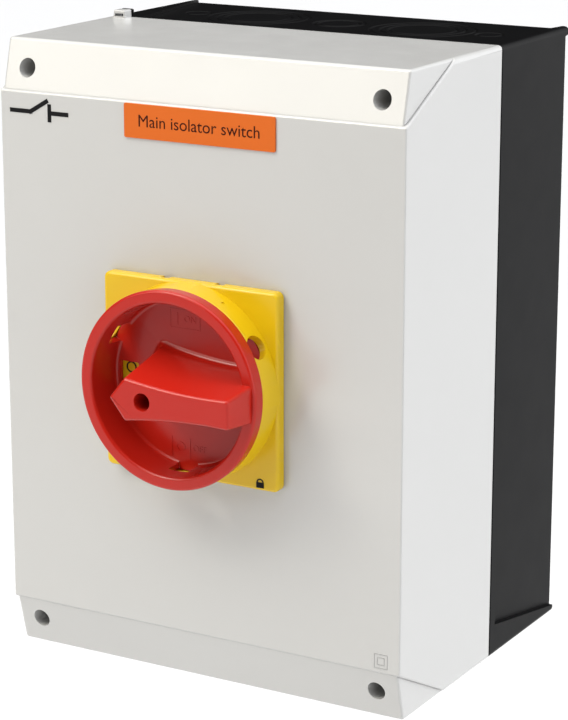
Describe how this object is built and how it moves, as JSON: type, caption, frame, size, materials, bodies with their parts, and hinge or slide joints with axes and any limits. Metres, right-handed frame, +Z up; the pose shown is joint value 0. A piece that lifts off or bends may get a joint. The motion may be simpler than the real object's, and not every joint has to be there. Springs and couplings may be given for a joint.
{
  "type": "enclosed rotary isolator switch",
  "caption": "Wall-mounted enclosed rotary isolator: a padlockable red knob on a yellow plate turns a multi-pole switch inside a bevelled insulated enclosure with a lift-off cover.",
  "frame": {"origin": "centre of the rear wall face of the base, on the axis of the knob", "axes": "+Z up, -Y towards the person who turns the knob, +X to that person's right, +Y into the wall"},
  "size_m": [0.2, 0.2035, 0.287],
  "materials": {
    "cover_grey": "fine satin, light grey",
    "base_black": "satin black",
    "knob_red": "smooth, signal red",
    "plate_yellow": "smooth, signal yellow",
    "label_orange": "printed film",
    "rubber_black": "matt",
    "sheet_steel": "zinc-plated sheet",
    "switch_grey": "glass-filled, matt dark grey",
    "rotor_white": "matt ivory",
    "copper": null,
    "brass": null,
    "terminal_blue": "satin",
    "terminal_green": "satin",
    "cover_screw_grey": "grey glass-filled plastic",
    "zinc_steel": "zinc-plated"
  },
  "bodies": {
    "base": {"base_housing": "base_black", "contact_chamber_1": "switch_grey", "contact_chamber_2": "switch_grey", "contact_chamber_3": "switch_grey", "earth_screw": "zinc_steel", "earth_terminal": "terminal_green", "latch_housing": "switch_grey", "latch_spring_left": "zinc_steel", "latch_spring_right": "zinc_steel", "line_contact_1": "copper", "line_contact_2": "copper", "line_contact_3": "copper", "line_screw_1": "zinc_steel", "line_screw_2": "zinc_steel", "line_screw_3": "zinc_steel", "line_terminal_1": "brass", "line_terminal_2": "brass", "line_terminal_3": "brass", "load_contact_1": "copper", "load_contact_2": "copper", "load_contact_3": "copper", "load_screw_1": "zinc_steel", "load_screw_2": "zinc_steel", "load_screw_3": "zinc_steel", "load_terminal_1": "brass", "load_terminal_2": "brass", "load_terminal_3": "brass", "mounting_plate": "sheet_steel", "neutral_screw": "zinc_steel", "neutral_terminal": "terminal_blue", "plate_screw_bottom_left": "zinc_steel", "plate_screw_bottom_right": "zinc_steel", "plate_screw_top_left": "zinc_steel", "plate_screw_top_right": "zinc_steel", "switch_foot": "switch_grey", "tie_screw_1": "zinc_steel", "tie_screw_2": "zinc_steel"},
    "rotor": {"contact_blade_1": "copper", "contact_blade_2": "copper", "contact_blade_3": "copper", "drive_shaft": "zinc_steel", "rotor_sleeve": "rotor_white", "star_wheel": "rotor_white"},
    "cover": {"cover_gasket": "rubber_black", "cover_shell": "cover_grey", "front_plate": "plate_yellow", "front_plate_screw_bottom_left": "zinc_steel", "front_plate_screw_bottom_right": "zinc_steel", "front_plate_screw_top_left": "zinc_steel", "front_plate_screw_top_right": "zinc_steel", "front_plate_seal": "rubber_black", "knob_seal": "rubber_black", "label_plate": "label_orange"},
    "knob": {"coupling_socket": "switch_grey", "knob": "knob_red", "knob_screw": "zinc_steel"},
    "cover_screw_bottom_left": {"cover_screw_bottom_left": "cover_screw_grey"},
    "cover_screw_bottom_right": {"cover_screw_bottom_right": "cover_screw_grey"},
    "cover_screw_top_left": {"cover_screw_top_left": "cover_screw_grey"},
    "cover_screw_top_right": {"cover_screw_top_right": "cover_screw_grey"}
  },
  "joints": [
    {"name": "cover_lift", "type": "slide", "parent": "base", "child": "cover", "axis": [0, -1, 0], "range_m": [0, 0.16]},
    {"name": "knob_turn", "type": "hinge", "parent": "cover", "child": "knob", "pos_m": [0, -0.16, 0], "axis": [0, 1, 0], "range_deg": [0, 90]},
    {"name": "shaft_turn", "type": "hinge", "parent": "base", "child": "rotor", "pos_m": [0, -0.08, 0], "axis": [0, 1, 0], "range_deg": [0, 90]},
    {"name": "cover_screw_top_left_turn", "type": "hinge", "parent": "cover", "child": "cover_screw_top_left", "pos_m": [-0.0873, -0.12, 0.1275], "axis": [0, 1, 0], "range_deg": [0, 90]},
    {"name": "cover_screw_top_right_turn", "type": "hinge", "parent": "cover", "child": "cover_screw_top_right", "pos_m": [0.0873, -0.12, 0.1275], "axis": [0, 1, 0], "range_deg": [0, 90]},
    {"name": "cover_screw_bottom_left_turn", "type": "hinge", "parent": "cover", "child": "cover_screw_bottom_left", "pos_m": [-0.0873, -0.12, -0.1275], "axis": [0, 1, 0], "range_deg": [0, 90]},
    {"name": "cover_screw_bottom_right_turn", "type": "hinge", "parent": "cover", "child": "cover_screw_bottom_right", "pos_m": [0.0873, -0.12, -0.1275], "axis": [0, 1, 0], "range_deg": [0, 90]}
  ],
  "couplings": [
    {"joint": "shaft_turn", "follows": "knob_turn", "ratio": 1}
  ]
}
